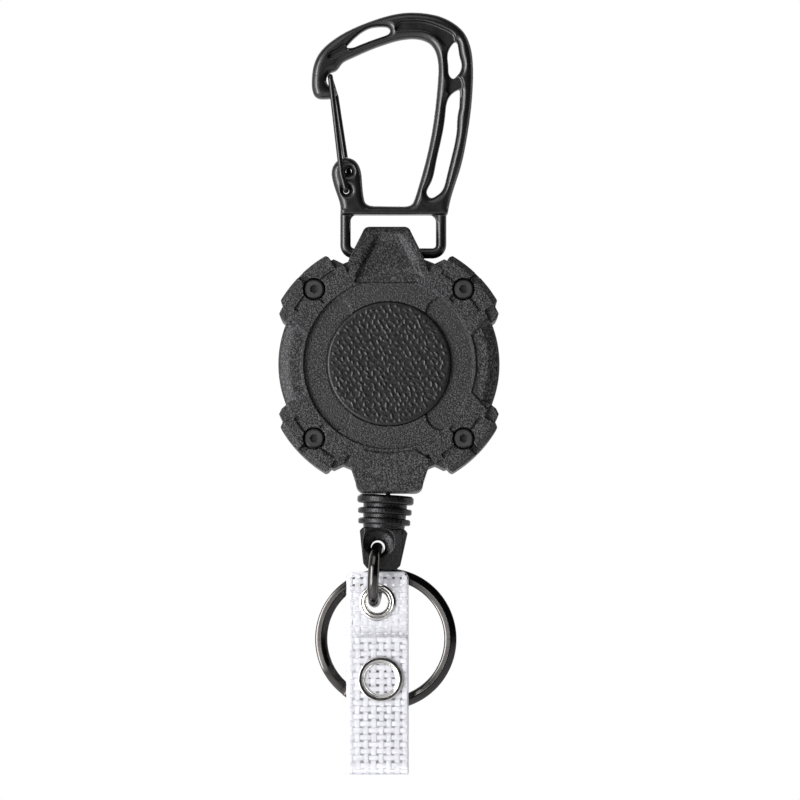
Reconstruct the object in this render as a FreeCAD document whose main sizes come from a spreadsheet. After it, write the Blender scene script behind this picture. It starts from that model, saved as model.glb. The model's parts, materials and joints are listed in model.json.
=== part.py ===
import FreeCAD, Part
import math
import os
import Sketcher

# Retractable badge reel: a two-rail snap hook carries a round reel by a wire loop; a cord on a
# sprung spool ends in a ribbed fitting, which holds a jump ring, a key ring and a snap strap.
# Lengths are millimetres. X points right, Y away from the front, Z up. The origin is the point of
# the snap hook's eye where the belt loop bears. Reel pieces are drawn about the reel's own centre.

V = FreeCAD.Vector
doc = FreeCAD.newDocument("badge_reel")
sheet = doc.addObject("Spreadsheet::Sheet", "Sizes")

TABLE = {
    # snap hook
    "hook_thick": 4.0, "hook_rail_sink": 0.9, "wire_loop": 1.0, "bar_height": -39.76,
    "loop_left": -8.2, "loop_right": 9.8, "loop_bend": 1.6, "gate_wire": 0.5, "gate_side": 2.75,
    "pivot_bore": 0.55, "foot_x": -7.6, "foot_z": -24.31, "pivot_x": -8.07, "pivot_z": -28.03,
    # reel casing, about its own centre
    "reel_drop": 60.97, "base_radius": 20.7, "block_radius": 23.5, "shoulder_radius": 22.6,
    "front_face": 7.2, "rear_face": 6.8, "rear_block": 5.9, "cavity_radius": 17.2,
    "cavity_front": 5.0, "cavity_rear": 4.7, "recess_radius": 15.95, "disc_radius": 11.7,
    "recess_floor": 6.85, "crescent_floor": 6.3, "disc_floor": 6.2, "disc_front": 7.45,
    "screw_circle": 19.75, "screw_head": 1.75, "screw_shank": 1.0, "head_well": 2.1,
    "head_seat": 4.9, "lug_bore": 1.1, "lug_middle": 0.4, "nozzle_face": 7.55,
    "spout_bore": 1.9, "axle_radius": 2.2, "axle_flange": 3.6,
    # spool and cord
    "hub_bore": 2.25, "hub_radius": 3.4, "drum_inner": 12.2, "drum_outer": 13.2,
    "flange_radius": 16.6, "drum_front": 2.95, "drum_rear": 3.0, "flange_thick": 1.0,
    "cord_radius": 0.5, "run_radius": 15.7, "spring_width": 4.3, "spring_strip": 0.25,
    # end fitting, about the middle of its own top
    "fitting_x": -0.6, "fitting_z": -85.35, "fitting_lean": 3.3, "rib_radius": 5.3,
    "rib_taper": 0.25, "core_radius": 4.1, "core_end": 3.85, "rib_end": 6.3,
    "tab_top": 4.5, "tab_foot": 3.5, "tab_height": 7.6, "tab_thick": 5.2, "tab_thin": 1.7,
    "tab_hole": 1.75, "tab_hole_drop": 9.46, "tab_hole_side": -0.8,
    # rings
    "ring_x": -2.45, "ring_z": -100.25, "ring_radius": 5.1, "ring_wire": 1.05,
    "key_x": -0.6, "key_y": 2.5, "key_z": -112.25, "key_radius": 12.15, "key_half_width": 1.15,
    "key_half_coil": 0.525, "key_coil_step": 0.55, "key_lean": 3.0,
    # strap
    "strap_x": -2.15, "strap_half": 5.85, "strap_top": -99.55, "strap_corner": 1.5,
    "strap_thick": 0.5, "tab_end": -109.4, "panel_top": -111.0, "fold_z": -136.15,
    "fold_radius": 1.3, "flap_top": -111.4, "eyelet_x": -2.2, "eyelet_z": -105.4, "eyelet_bore": 2.0,
    "eyelet_barrel": 2.2, "eyelet_rim": 3.5, "eyelet_dome": 0.5,
    "snap_x": -1.6, "snap_z": -119.85, "snap_ring": 4.2, "snap_ring_inner": 3.2,
    "snap_ring_thick": 0.75, "snap_post": 1.62, "snap_socket_bore": 1.8, "snap_socket": 3.0,
    "snap_flange": 3.1,
}


class Size:
    """A length that remembers which cells of the sheet it came from."""

    def __init__(self, value, text):
        self.value = float(value)
        self.text = text

    def joined(self, other, sign, flip=False):
        a, b = (sized(other), self) if flip else (self, sized(other))
        value = {"+": a.value + b.value, "-": a.value - b.value,
                 "*": a.value * b.value, "/": a.value / (b.value or 1.0)}[sign]
        return Size(value, "(%s %s %s)" % (a.text, sign, b.text))

    def __add__(self, other):
        return self.joined(other, "+")

    def __radd__(self, other):
        return self.joined(other, "+", True)

    def __sub__(self, other):
        return self.joined(other, "-")

    def __rsub__(self, other):
        return self.joined(other, "-", True)

    def __mul__(self, other):
        return self.joined(other, "*")

    def __rmul__(self, other):
        return self.joined(other, "*", True)

    def __truediv__(self, other):
        return self.joined(other, "/")

    def __neg__(self):
        return self.joined(-1.0, "*")

    def __float__(self):
        return self.value


def sized(thing):
    return thing if isinstance(thing, Size) else Size(thing, "(%.6f)" % thing)


class Named:
    """One attribute for each cell of the sheet."""


at = Named()
for row, (word, value) in enumerate(TABLE.items(), 1):
    sheet.set("A%d" % row, word)
    sheet.set("B%d" % row, str(value))
    sheet.setAlias("B%d" % row, word)
    setattr(at, word, Size(value, "Sizes." + word))
doc.recompute()


made = {}


def bind(thing, path, size):
    """Let a property follow the sheet."""
    thing.setExpression(path, sized(size).text)


def place(thing, x=0.0, y=0.0, z=0.0, axis=None, angle=0.0):
    turn = FreeCAD.Rotation(axis, float(angle)) if axis else FreeCAD.Rotation()
    thing.Placement = FreeCAD.Placement(V(float(x), float(y), float(z)), turn)
    for letter, size in zip("xyz", (x, y, z)):
        bind(thing, "Placement.Base." + letter, size)
    return thing


def new_body(name, x=0.0, y=0.0, z=0.0, axis=None, angle=0.0):
    body = doc.addObject("PartDesign::Body", name)
    body.Label = name
    body.AllowCompound = True
    return place(body, x, y, z, axis, angle)


def reel_body(name):
    return new_body(name, z=-at.reel_drop)


def new_sketch(body, plane, offset=0.0, tilt=None, shift=0.0):
    """Sketch on one of the body's own planes, moved along the plane's normal."""
    sk = body.newObject("Sketcher::SketchObject", body.Name + "_sketch")
    sk.AttachmentSupport = [(f, "") for f in body.Origin.OriginFeatures if f.Role == plane]
    sk.MapMode = "FlatFace"
    turn = FreeCAD.Rotation(V(1, 0, 0), tilt) if tilt else FreeCAD.Rotation()
    sk.AttachmentOffset = FreeCAD.Placement(V(0, float(shift), float(offset)), turn)
    bind(sk, "AttachmentOffset.Base.z", offset)
    return sk


def fix_point(sk, geo, pos, x, y):
    for kind, size in (("DistanceX", x), ("DistanceY", y)):
        n = sk.addConstraint(Sketcher.Constraint(kind, geo, pos, float(size)))
        bind(sk, "Constraints[%d]" % n, size)


def circle(sk, x, y, radius):
    geo = sk.addGeometry(Part.Circle(V(float(x), float(y), 0), V(0, 0, 1), float(radius)), False)
    n = sk.addConstraint(Sketcher.Constraint("Radius", geo, float(radius)))
    bind(sk, "Constraints[%d]" % n, radius)
    fix_point(sk, geo, 3, x, y)


def outline(sk, corners):
    """Closed outline through (x, y) corners; (x, y, r) starts an arc, r > 0 turning left."""
    ends = []
    for i, corner in enumerate(corners):
        a = V(float(corner[0]), float(corner[1]), 0)
        after = corners[(i + 1) % len(corners)]
        b = V(float(after[0]), float(after[1]), 0)
        if len(corner) < 3:
            geo = sk.addGeometry(Part.LineSegment(a, b), False)
            ends.append((geo, 1, 2))
            continue
        radius = abs(float(corner[2]))
        left = float(corner[2]) > 0
        chord = b - a
        rise = math.sqrt(max(radius ** 2 - chord.Length ** 2 / 4, 0.0)) / chord.Length
        side = rise if left else -rise
        mid = (a + b) * 0.5 + V(-chord.y * side, chord.x * side, 0)
        first, last = (a, b) if left else (b, a)
        start = math.atan2(first.y - mid.y, first.x - mid.x)
        stop = math.atan2(last.y - mid.y, last.x - mid.x)
        stop += 2 * math.pi if stop < start else 0.0
        arc = Part.ArcOfCircle(Part.Circle(mid, V(0, 0, 1), radius), start, stop)
        geo = sk.addGeometry(arc, False)
        ends.append((geo, 1, 2) if left else (geo, 2, 1))
        n = sk.addConstraint(Sketcher.Constraint("Radius", geo, radius))
        bind(sk, "Constraints[%d]" % n, corner[2] if left else -corner[2])
    for i, (geo, start, stop) in enumerate(ends):
        geo_next, start_next, _ = ends[(i + 1) % len(ends)]
        sk.addConstraint(Sketcher.Constraint("Coincident", geo, stop, geo_next, start_next))
        fix_point(sk, geo, start, corners[i][0], corners[i][1])


def box_outline(sk, x0, y0, x1, y1):
    outline(sk, [(x0, y0), (x1, y0), (x1, y1), (x0, y1)])


def curve(sk, runs):
    """Closed outline of runs of points: two points make a line, more a smooth curve."""
    for run in runs:
        points = [V(x, y, 0) for x, y in run]
        if len(points) == 2:
            sk.addGeometry(Part.LineSegment(points[0], points[1]), False)
            continue
        spline = Part.BSplineCurve()
        spline.interpolate(Points=points, PeriodicFlag=False)
        sk.addGeometry(spline, False)


def loop_curve(sk, points):
    """Closed smooth curve through the points."""
    spline = Part.BSplineCurve()
    spline.interpolate(Points=[V(x, y, 0) for x, y in points], PeriodicFlag=True)
    sk.addGeometry(spline, False)


def feature(body, kind, sk, length=None, reverse=False, both=False):
    f = body.newObject("PartDesign::" + kind, body.Name + "_" + kind.lower())
    f.Profile = (sk, [""])
    if kind in ("Pad", "Pocket"):
        f.Type = "Length"
        f.SideType = "Symmetric" if both else "One side"
        f.Length = float(length)
        bind(f, "Length", length)
    else:
        f.ReferenceAxis = (sk, ["V_Axis"])
        f.Angle = 360.0
    f.Reversed = reverse
    doc.recompute()
    return f


def polar(body, features, count):
    pattern = body.newObject("PartDesign::PolarPattern", body.Name + "_around")
    pattern.Originals = features
    pattern.Axis = ([f for f in body.Origin.OriginFeatures if f.Role == "Y_Axis"][0], [""])
    pattern.Angle = 360.0
    pattern.Occurrences = count
    body.Tip = pattern
    doc.recompute()
    return pattern


def edges_at(shape, test):
    return ["Edge%d" % (i + 1) for i, e in enumerate(shape.Edges) if test(e)]


def dress(body, kind, size, test):
    """Chamfer or fillet every edge that passes the test."""
    tip = body.Tip
    names = edges_at(tip.Shape, test)
    if not names:
        raise ValueError("no edges to dress on " + body.Name)
    f = body.newObject("PartDesign::" + kind, body.Name + "_" + kind.lower())
    f.Base = (tip, names)
    path = "Size" if kind == "Chamfer" else "Radius"
    setattr(f, path, float(size))
    bind(f, path, size)
    doc.recompute()
    if not f.Shape.isValid() or f.Shape.isNull():
        raise ValueError("edges would not dress on " + body.Name)
    return f


def polar_point(radius, degrees, turn=None):
    """Corner at a radius and an angle from the right; turn is the arc that starts there."""
    a = math.radians(degrees)
    corner = (radius * math.cos(a), radius * math.sin(a))
    return corner if turn is None else corner + (turn,)


def on_face(edge, y):
    """True for an edge that lies wholly at depth y."""
    return all(abs(v.Point.y - y) < 1e-4 for v in edge.Vertexes) and \
        abs(edge.CenterOfMass.y - y) < 1e-4


def off_axis_sketch(body, x, z):
    """Sketch whose upright axis runs along Y through (x, z)."""
    sk = new_sketch(body, "XY_Plane", z)
    bind(sk, "AttachmentOffset.Base.x", x)
    return sk


def round_along(body, profile):
    """Turned piece about Y: profile corners are (radius, y)."""
    sk = new_sketch(body, "XY_Plane")
    outline(sk, profile)
    return feature(body, "Revolution", sk)


def tube(name, x, z, profile):
    """Body turned about an axis along Y at (x, z)."""
    body = new_body(name, x=x, z=z)
    round_along(body, profile)
    return body


def plain(kind, name, **sizes):
    """Part primitive with its sizes bound."""
    thing = doc.addObject("Part::" + kind, name)
    for prop, size in sizes.items():
        setattr(thing, prop, float(size))
        bind(thing, prop, size)
    return thing


def joined(name, parts):
    whole = doc.addObject("Part::MultiFuse", name)
    whole.Shapes = parts
    whole.Label = name
    return whole


def shaped(name, shape):
    thing = doc.addObject("Part::Feature", name)
    thing.Shape = shape
    thing.Label = name
    return thing


def bent_wire(points, radius, bend):
    """Round wire along straight runs joined by tangent bends."""
    edges = []
    last = points[0]
    for before, corner, after in zip(points, points[1:], points[2:]):
        to_a = (before - corner).normalize()
        to_b = (after - corner).normalize()
        half = to_a.getAngle(to_b) / 2
        cut = bend / math.tan(half)
        inner = (to_a + to_b).normalize() * (bend / math.sin(half) - bend)
        edges.append(Part.makeLine(last, corner + to_a * cut))
        arc = Part.Arc(corner + to_a * cut, corner + inner, corner + to_b * cut)
        edges.append(arc.toShape())
        last = corner + to_b * cut
    edges.append(Part.makeLine(last, points[-1]))
    spine = Part.Wire(edges)
    start = points[1] - points[0]
    ring = Part.Wire([Part.Circle(points[0], start, radius).toShape()])
    shell = Part.BRepOffsetAPI.MakePipeShell(spine)
    shell.setFrenetMode(False)
    shell.add(ring)
    shell.build()
    shell.makeSolid()
    return shell.shape()


# ---- snap hook -------------------------------------------------------------------------------
# One flat casting. Its edge runs from the right foot over the top to the nose, through the
# gate's notch, round the eye and down the pivot block to the left foot.
HOOK_EDGE = [
    (11.05, -32.5), (12.2, -27.55), (13.41, -23.83), (14.65, -18.18), (15.5, -12.2),
    (15.85, -5.5), (15.3, -0.57), (14.2, 1.84), (12.23, 3.68), (9.63, 4.97), (6.38, 5.63),
    (3.18, 5.71), (-0.01, 5.17), (-3.86, 3.94), (-8.01, 2.13), (-10.88, 0.32), (-13.1, -1.85),
    (-14.28, -4.52), (-14.58, -6.84), (-14.4, -9.2), (-13.85, -10.2), (-12.95, -10.6),
    (-12.0, -10.6), (-11.0, -10.55), (-10.2, -10.2), (-9.78, -9.5), (-10.1, -8.75),
    (-11.05, -8.35), (-11.7, -7.6), (-11.72, -6.5), (-11.1, -5.7), (-10.3, -5.42),
    (-9.6, -4.88), (-8.9, -3.9), (-7.4, -3.0), (-5.0, -1.9), (-1.9, -0.64), (0.0, 0.0),
    (1.4, 0.4), (3.2, 0.73), (4.8, 0.8), (6.7, 0.42), (8.0, -0.4), (8.92, -2.15),
    (9.28, -4.6), (9.15, -7.78), (8.7, -12.45), (7.91, -17.73), (6.82, -22.65),
    (5.55, -27.2), (4.75, -29.7), (4.3, -30.5), (3.5, -30.88), (2.0, -30.94), (0.0, -30.92),
    (-2.2, -30.88), (-3.5, -30.8), (-4.35, -30.4), (-4.73, -29.4), (-5.06, -26.47),
    (-5.42, -23.86), (-6.2, -22.5), (-7.65, -21.75), (-9.25, -21.95), (-10.28, -22.88),
    (-10.81, -24.31), (-10.66, -25.85), (-10.01, -28.04), (-9.25, -30.36), (-9.14, -32.5)]
hook = new_body("hook_casting")
sk = new_sketch(hook, "XZ_Plane")
curve(sk, [HOOK_EDGE, [HOOK_EDGE[-1], HOOK_EDGE[0]]])
feature(hook, "Pad", sk, at.hook_thick, both=True)
half = float(at.hook_thick) / 2
faces = (half, -half)
dress(hook, "Fillet", 0.7, lambda e: any(on_face(e, y) for y in faces) and e.Length > 50)

# three windows between the two rails
sk = new_sketch(hook, "XZ_Plane")
loop_curve(sk, [(-8.1, -0.8), (-5.7, 1.6), (-3.43, 2.85), (-1.5, 3.08), (0.1, 2.6),
                (0.1, 1.95), (-0.92, 1.3), (-3.34, 0.47), (-6.26, -0.71), (-7.6, -0.97)])
loop_curve(sk, [(12.35, 0.15), (11.46, -0.97), (11.05, -2.3), (11.2, -4.67), (11.45, -6.3),
                (12.1, -6.84), (12.75, -6.3), (13.38, -5.41), (13.65, -4.3), (13.14, -1.9)])
loop_curve(sk, [(13.2, -8.8), (11.1, -10.75), (10.61, -13.62), (9.95, -17.81), (8.85, -22.76),
                (7.72, -26.78), (7.15, -28.6), (7.8, -29.3), (8.85, -28.94), (9.97, -27.92),
                (10.71, -25.83), (11.85, -21.15), (12.73, -16.48), (13.25, -12.09)])
feature(hook, "Pocket", sk, at.hook_thick + 2.0, both=True)
dress(hook, "Fillet", 0.35,
      lambda e: any(on_face(e, y) for y in faces) and 14 < e.Length < 47)

# sunk webs that join the windows, pivot bore mouths, on both faces
for front in (True, False):
    sk = new_sketch(hook, "XZ_Plane", at.hook_thick * (0.5 if front else -0.5))
    loop_curve(sk, [(1.4, 2.2), (4.2, 2.1), (6.9, 1.85), (9.0, 0.9), (10.3, -0.5),
                    (11.2, -0.9), (12.4, 0.0), (12.4, 1.2), (10.9, 2.4), (8.6, 3.4),
                    (5.9, 4.05), (3.2, 4.05), (1.5, 3.5)])
    loop_curve(sk, [(11.3, -6.9), (12.1, -6.4), (13.1, -6.3), (13.9, -7.4), (13.8, -9.0),
                    (12.9, -9.8), (11.4, -10.0), (10.9, -9.4), (11.0, -8.0)])
    loop_curve(sk, [(-7.9, -0.6), (-7.5, -1.5), (-8.8, -2.1), (-10.4, -2.9), (-11.4, -2.9),
                    (-11.2, -2.0), (-9.7, -1.1)])
    feature(hook, "Pocket", sk, at.hook_rail_sink, reverse=not front)
    sk = new_sketch(hook, "XZ_Plane", at.hook_thick * (0.5 if front else -0.5))
    circle(sk, at.pivot_x, at.pivot_z, 1.0)
    feature(hook, "Pocket", sk, 0.5, reverse=not front)
sk = new_sketch(hook, "XZ_Plane")
circle(sk, at.pivot_x, at.pivot_z, at.pivot_bore)
circle(sk, at.foot_x, at.foot_z, at.gate_wire + 0.1)
feature(hook, "Pocket", sk, at.hook_thick + 2.0, both=True)
for front, x, radius, depth in ((True, at.foot_x, 0.95, 0.9), (False, -7.03, 1.2, 1.6)):
    sk = new_sketch(hook, "XZ_Plane", at.hook_thick * (0.5 if front else -0.5))
    circle(sk, x, at.foot_z - (0.0 if front else 0.14), radius)
    feature(hook, "Pocket", sk, depth, reverse=not front)

# round wire loop that carries the reel: two legs, two bends and the bar
bend_z = at.bar_height + at.loop_bend
parts = [hook]
for word, x, turn in (("left", at.loop_left, 1), ("right", at.loop_right, -1)):
    leg = plain("Cylinder", "loop_leg_" + word, Radius=at.wire_loop, Height=-31.2 - bend_z)
    bend = plain("Torus", "loop_bend_" + word, Radius1=at.loop_bend, Radius2=at.wire_loop,
                 Angle3=90.0)
    bend.Placement.Rotation = FreeCAD.Rotation(V(-turn, 0, 0), V(0, 0, -1), V(0, -turn, 0),
                                               "XYZ")
    bind(bend, "Placement.Base.x", x + turn * at.loop_bend)
    bind(bend, "Placement.Base.z", bend_z)
    parts += [place(leg, x, 0.0, bend_z), bend]
bar = plain("Cylinder", "loop_bar", Radius=at.wire_loop,
            Height=at.loop_right - at.loop_left - 2 * at.loop_bend)
parts.append(place(bar, at.loop_left + at.loop_bend, 0.0, at.bar_height, V(0, 1, 0), 90))
made["carabiner_frame"] = joined("carabiner_frame", parts)

# sprung wire gate: one foot in the pivot bore, one in the wide bore, a U-bend in the notch
side = float(at.gate_side)
low_x, low_z = float(at.pivot_x), float(at.pivot_z)
foot_x, foot_z = float(at.foot_x), float(at.foot_z)
made["wire_gate"] = shaped("wire_gate", bent_wire([
    V(low_x, -0.9, low_z), V(low_x, -side, low_z), V(-8.9, -side, -25.0),
    V(-11.05, -side, -6.55), V(-11.05, side, -6.55), V(-10.0, side, -10.0),
    V(-8.25, side, -21.5), V(foot_x, side, foot_z), V(foot_x, 0.9, foot_z)],
    float(at.gate_wire), 0.7))


# ---- reel casing -----------------------------------------------------------------------------
def block_corners():
    """One of four lobes that carry the screws, stepped down to the round body."""
    wide, brow, low = at.shoulder_radius, at.block_radius, 22.2
    return [polar_point(17.9, 21.5), polar_point(20.4, 21.5), polar_point(21.7, 22.6),
            polar_point(wide, 24.6, wide), polar_point(wide, 28.6), polar_point(23.0, 29.4),
            polar_point(brow, 30.4, brow), polar_point(brow, 59.6), polar_point(23.0, 60.5),
            polar_point(low, 60.7, low), polar_point(low, 62.2), polar_point(20.6, 65.6),
            polar_point(17.9, 66.5)]


def mirrored(corners):
    """The same outline on the other side of the upright axis."""
    turned = []
    for i in range(len(corners) - 1, -1, -1):
        corner = (-corners[i][0], corners[i][1])
        turned.append(corner + tuple(corners[i - 1][2:]))
    return turned


def shell_solid(body, rim, depth, spout_depth, front):
    """Round body, lobes, ear over the wire loop on top and spout for the cord below."""
    round_along(body, rim)
    sk = new_sketch(body, "XZ_Plane")
    outline(sk, block_corners())
    polar(body, [feature(body, "Pad", sk, depth, reverse=not front)], 2)
    sk = new_sketch(body, "XZ_Plane")
    outline(sk, mirrored(block_corners()))
    polar(body, [feature(body, "Pad", sk, depth, reverse=not front)], 2)
    s = -1.0 if front else 1.0
    sk = new_sketch(body, "XY_Plane")
    outline(sk, [(at.block_radius - 1.0, s * depth), (at.block_radius + 0.5, s * (depth - 1.5)),
                 (at.block_radius + 0.5, s * (depth + 1.0)),
                 (at.block_radius - 1.0, s * (depth + 1.0))])
    feature(body, "Groove", sk)
    mid = -at.lug_middle
    sk = new_sketch(body, "XZ_Plane")
    outline(sk, [(mid - 6.9, 18.6), (mid + 6.9, 18.6), (mid + 7.0, 19.8),
                 (mid + 4.5, 24.95, 1.3), (mid + 3.35, 25.95), (mid - 3.35, 25.95, 1.3),
                 (mid - 4.5, 24.95), (mid - 7.2, 19.4)])
    feature(body, "Pad", sk, at.front_face if front else at.rear_face, reverse=not front)
    sk = new_sketch(body, "XZ_Plane")
    outline(sk, [(-7.6, -17.9), (-6.2, -22.2, 1.6), (-4.7, -23.9), (4.9, -23.9, 1.6),
                 (6.4, -22.2), (7.8, -17.9), (4.8, -16.0, -16.7), (-4.8, -16.0)])
    feature(body, "Pad", sk, spout_depth, reverse=not front)


def shell_hollows(body, depth, front):
    """Spool chamber, half the bar bore and half the spout bore."""
    sk = new_sketch(body, "XZ_Plane")
    circle(sk, 0.0, 0.0, at.cavity_radius)
    feature(body, "Pocket", sk, depth, reverse=front)
    sk = new_sketch(body, "YZ_Plane")
    circle(sk, 0.0, at.reel_drop + at.bar_height, at.lug_bore)
    feature(body, "Pocket", sk, 30.0, both=True)
    sk = new_sketch(body, "XY_Plane")
    circle(sk, 0.0, 0.0, at.spout_bore)
    feature(body, "Pocket", sk, 30.0)


def shave_ear(body, face, top, front):
    """Lean the ear's face back and round its top."""
    s = -1.0 if front else 1.0
    sk = new_sketch(body, "YZ_Plane")
    outline(sk, [(s * face, 18.2), (s * (top + 0.1), 24.4, s * 3.0), (s * (top - 1.5), 26.0),
                 (s * (top - 1.5), 27.0), (s * (face + 1.5), 27.0), (s * (face + 1.5), 18.2)])
    feature(body, "Pocket", sk, 15.6, both=True)


front_shell = reel_body("front_shell")
shell_solid(front_shell, [(0.0, 0.0), (0.0, -at.front_face), (18.55, -at.front_face),
                          (18.75, -6.55), (20.2, -6.1), (at.base_radius, -5.6),
                          (at.base_radius, 0.0)], at.front_face, at.nozzle_face, True)
shave_ear(front_shell, 7.2, 5.1, True)
shell_hollows(front_shell, at.cavity_front, True)
made["front_shell"] = front_shell

# shoulders of the lobes stand lower than their pads
sk = new_sketch(front_shell, "XZ_Plane", at.front_face)
for first, last in ((60.7, 69.0), (21.0, 29.3)):
    outline(sk, [polar_point(20.5, first), polar_point(24.5, first),
                 polar_point(24.5, last), polar_point(20.5, last)])
lows = feature(front_shell, "Pocket", sk, 0.9)
polar(front_shell, [lows], 4)

# arc groove between pad and face, the slot from the screw well outwards, the well's tick mark
sk = new_sketch(front_shell, "XZ_Plane", at.front_face)
outline(sk, [polar_point(19.5, 30.0, 19.5), polar_point(19.5, 60.0),
             polar_point(20.4, 60.0, -20.4), polar_point(20.4, 30.0)])
groove = feature(front_shell, "Pocket", sk, 0.5)
polar(front_shell, [groove], 4)
sk = new_sketch(front_shell, "XZ_Plane", at.front_face)
outline(sk, [polar_point(20.0, 43.2), polar_point(24.5, 43.5), polar_point(24.5, 46.5),
             polar_point(20.0, 46.8)])
slot = feature(front_shell, "Pocket", sk, 1.9)
polar(front_shell, [slot], 4)
sk = new_sketch(front_shell, "XZ_Plane", at.front_face)
outline(sk, [polar_point(16.6, 42.6), polar_point(18.5, 42.9), polar_point(18.5, 47.1),
             polar_point(16.6, 47.4)])
tick = feature(front_shell, "Pocket", sk, 0.55)
polar(front_shell, [tick], 4)

# screw wells and screw holes
where = at.screw_circle * math.sqrt(0.5)
sk = new_sketch(front_shell, "XZ_Plane", at.front_face)
circle(sk, where, where, at.head_well)
well = feature(front_shell, "Pocket", sk, at.front_face - at.head_seat)
polar(front_shell, [well], 4)
sk = new_sketch(front_shell, "XZ_Plane", at.front_face)
circle(sk, where, where, at.screw_shank + 0.1)
hole = feature(front_shell, "Pocket", sk, 10.0)
polar(front_shell, [hole], 4)

# round recess, the two crescents either side of the grip disc, and the disc's seat
sk = new_sketch(front_shell, "XZ_Plane", at.front_face)
circle(sk, 0.0, 0.0, at.recess_radius)
feature(front_shell, "Pocket", sk, at.front_face - at.recess_floor)
under = at.disc_radius - 0.5
cap = (at.recess_radius - under) * 0.6
crescent = 51.0
sk = new_sketch(front_shell, "XZ_Plane", at.front_face)
outline(sk, [polar_point(at.recess_radius, -crescent, at.recess_radius),
             polar_point(at.recess_radius, crescent, cap),
             polar_point(under, crescent, -under), polar_point(under, -crescent, cap)])
moon = feature(front_shell, "Pocket", sk, at.front_face - at.crescent_floor)
polar(front_shell, [moon], 2)
sk = new_sketch(front_shell, "XZ_Plane", at.front_face)
circle(sk, 0.0, 0.0, at.disc_radius)
feature(front_shell, "Pocket", sk, at.front_face - at.disc_floor)

# lowered fields left and right of the recess
sk = new_sketch(front_shell, "XZ_Plane", at.front_face)
outline(sk, [polar_point(16.3, -19.0), polar_point(21.2, -26.0, 21.2),
             polar_point(21.2, 26.0), polar_point(16.3, 19.0, -16.3)])
field = feature(front_shell, "Pocket", sk, 0.45)
polar(front_shell, [field], 2)

# sunk panel on the ear: a level lower part and a leaning upper part
sk = new_sketch(front_shell, "XZ_Plane", at.front_face)
mid = -at.lug_middle
outline(sk, [(mid - 6.1, 15.2), (mid + 6.1, 15.2), (mid + 4.75, 18.25), (mid - 4.75, 18.25)])
feature(front_shell, "Pocket", sk, 0.7)
lean = math.degrees(math.atan2(2.0, 6.0))
sk = new_sketch(front_shell, "XZ_Plane", at.front_face + 0.3, -lean, 18.2)
outline(sk, [(mid - 4.8, -0.4), (mid + 4.8, -0.4), (mid + 1.8, 6.3), (mid - 1.8, 6.3)])
feature(front_shell, "Pocket", sk, 1.0)

# rear half, with the axle's rivet seat in its back
rear_shell = reel_body("rear_shell")
shell_solid(rear_shell, [(0.0, 0.0), (at.base_radius, 0.0), (at.base_radius, 5.2),
                         (20.3, 5.9), (18.9, at.rear_face), (0.0, at.rear_face)],
            at.rear_block, at.rear_face - 0.5, False)
shave_ear(rear_shell, 6.8, 4.9, False)
shell_hollows(rear_shell, at.cavity_rear, False)
sk = new_sketch(rear_shell, "XZ_Plane")
circle(sk, where, where, 1.6)
polar(rear_shell, [feature(rear_shell, "Pocket", sk, 4.7)], 4)
sk = new_sketch(rear_shell, "XZ_Plane", -at.rear_face)
circle(sk, 0.0, 0.0, at.axle_flange)
feature(rear_shell, "Pocket", sk, 0.8, reverse=True)
sk = new_sketch(rear_shell, "XZ_Plane")
circle(sk, 0.0, 0.0, at.axle_radius)
feature(rear_shell, "Pocket", sk, 10.0)
sk = new_sketch(rear_shell, "XZ_Plane", -at.rear_face)
circle(sk, 0.0, 0.0, 16.4)
circle(sk, 0.0, 0.0, 15.9)
feature(rear_shell, "Pocket", sk, 0.3, reverse=True)
made["rear_shell"] = rear_shell

# textured grip disc set into the front
disc = reel_body("grip_disc")
edge = at.disc_radius
round_along(disc, [(0.0, -at.disc_floor), (edge, -at.disc_floor), (edge, 0.35 - at.disc_front),
                   (edge - 0.35, -at.disc_front), (0.0, -at.disc_front)])
made["grip_disc"] = disc

# four socket screws and the brass inserts they run into
screws = reel_body("case_screws")
inserts = reel_body("thread_inserts")
seat = -at.head_seat
head = at.screw_head


def four_turned(body, profile):
    """Turn a profile about the upper right screw's own axis and copy it to the other three."""
    sk = off_axis_sketch(body, where, where)
    outline(sk, profile)
    polar(body, [feature(body, "Revolution", sk)], 4)


four_turned(screws, [
    (0.0, 4.2), (at.screw_shank - 0.25, 4.2), (at.screw_shank, 3.95), (at.screw_shank, seat),
    (head, seat), (head, seat - 1.75), (head - 0.25, seat - 2.0), (0.0, seat - 2.0)])
sk = new_sketch(screws, "XZ_Plane", at.head_seat + 2.0)
for corner_x, corner_z in [(where, where)]:
    flat = 0.75
    reach = flat / math.cos(math.radians(30))
    outline(sk, [(corner_x + reach * math.cos(math.radians(a)),
                  corner_z + reach * math.sin(math.radians(a))) for a in range(0, 360, 60)])
polar(screws, [feature(screws, "Pocket", sk, 1.1)], 4)
made["case_screws"] = screws
four_turned(inserts, [
    (at.screw_shank, 0.6), (1.6, 0.6), (1.6, 2.1), (1.35, 2.3), (1.35, 2.7), (1.6, 2.9),
    (1.6, 4.6), (at.screw_shank, 4.6)])
made["thread_inserts"] = inserts

# fixed axle riveted through the back, with a groove for its clip and a slot for the spring
axle = reel_body("spool_axle")
post = at.axle_radius
round_along(axle, [(0.0, 6.7), (at.axle_flange - 0.3, 6.7), (at.axle_flange, 6.4),
                   (at.axle_flange, 6.0), (post, 6.0), (post, -4.35), (post - 0.5, -4.35),
                   (post - 0.5, -4.7), (post, -4.7), (post, -4.95), (0.0, -4.95)])
sk = new_sketch(axle, "YZ_Plane")
box_outline(sk, -1.7, 0.9, 2.8, 3.0)
feature(axle, "Pocket", sk, 0.5, both=True)
made["spool_axle"] = axle


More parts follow.
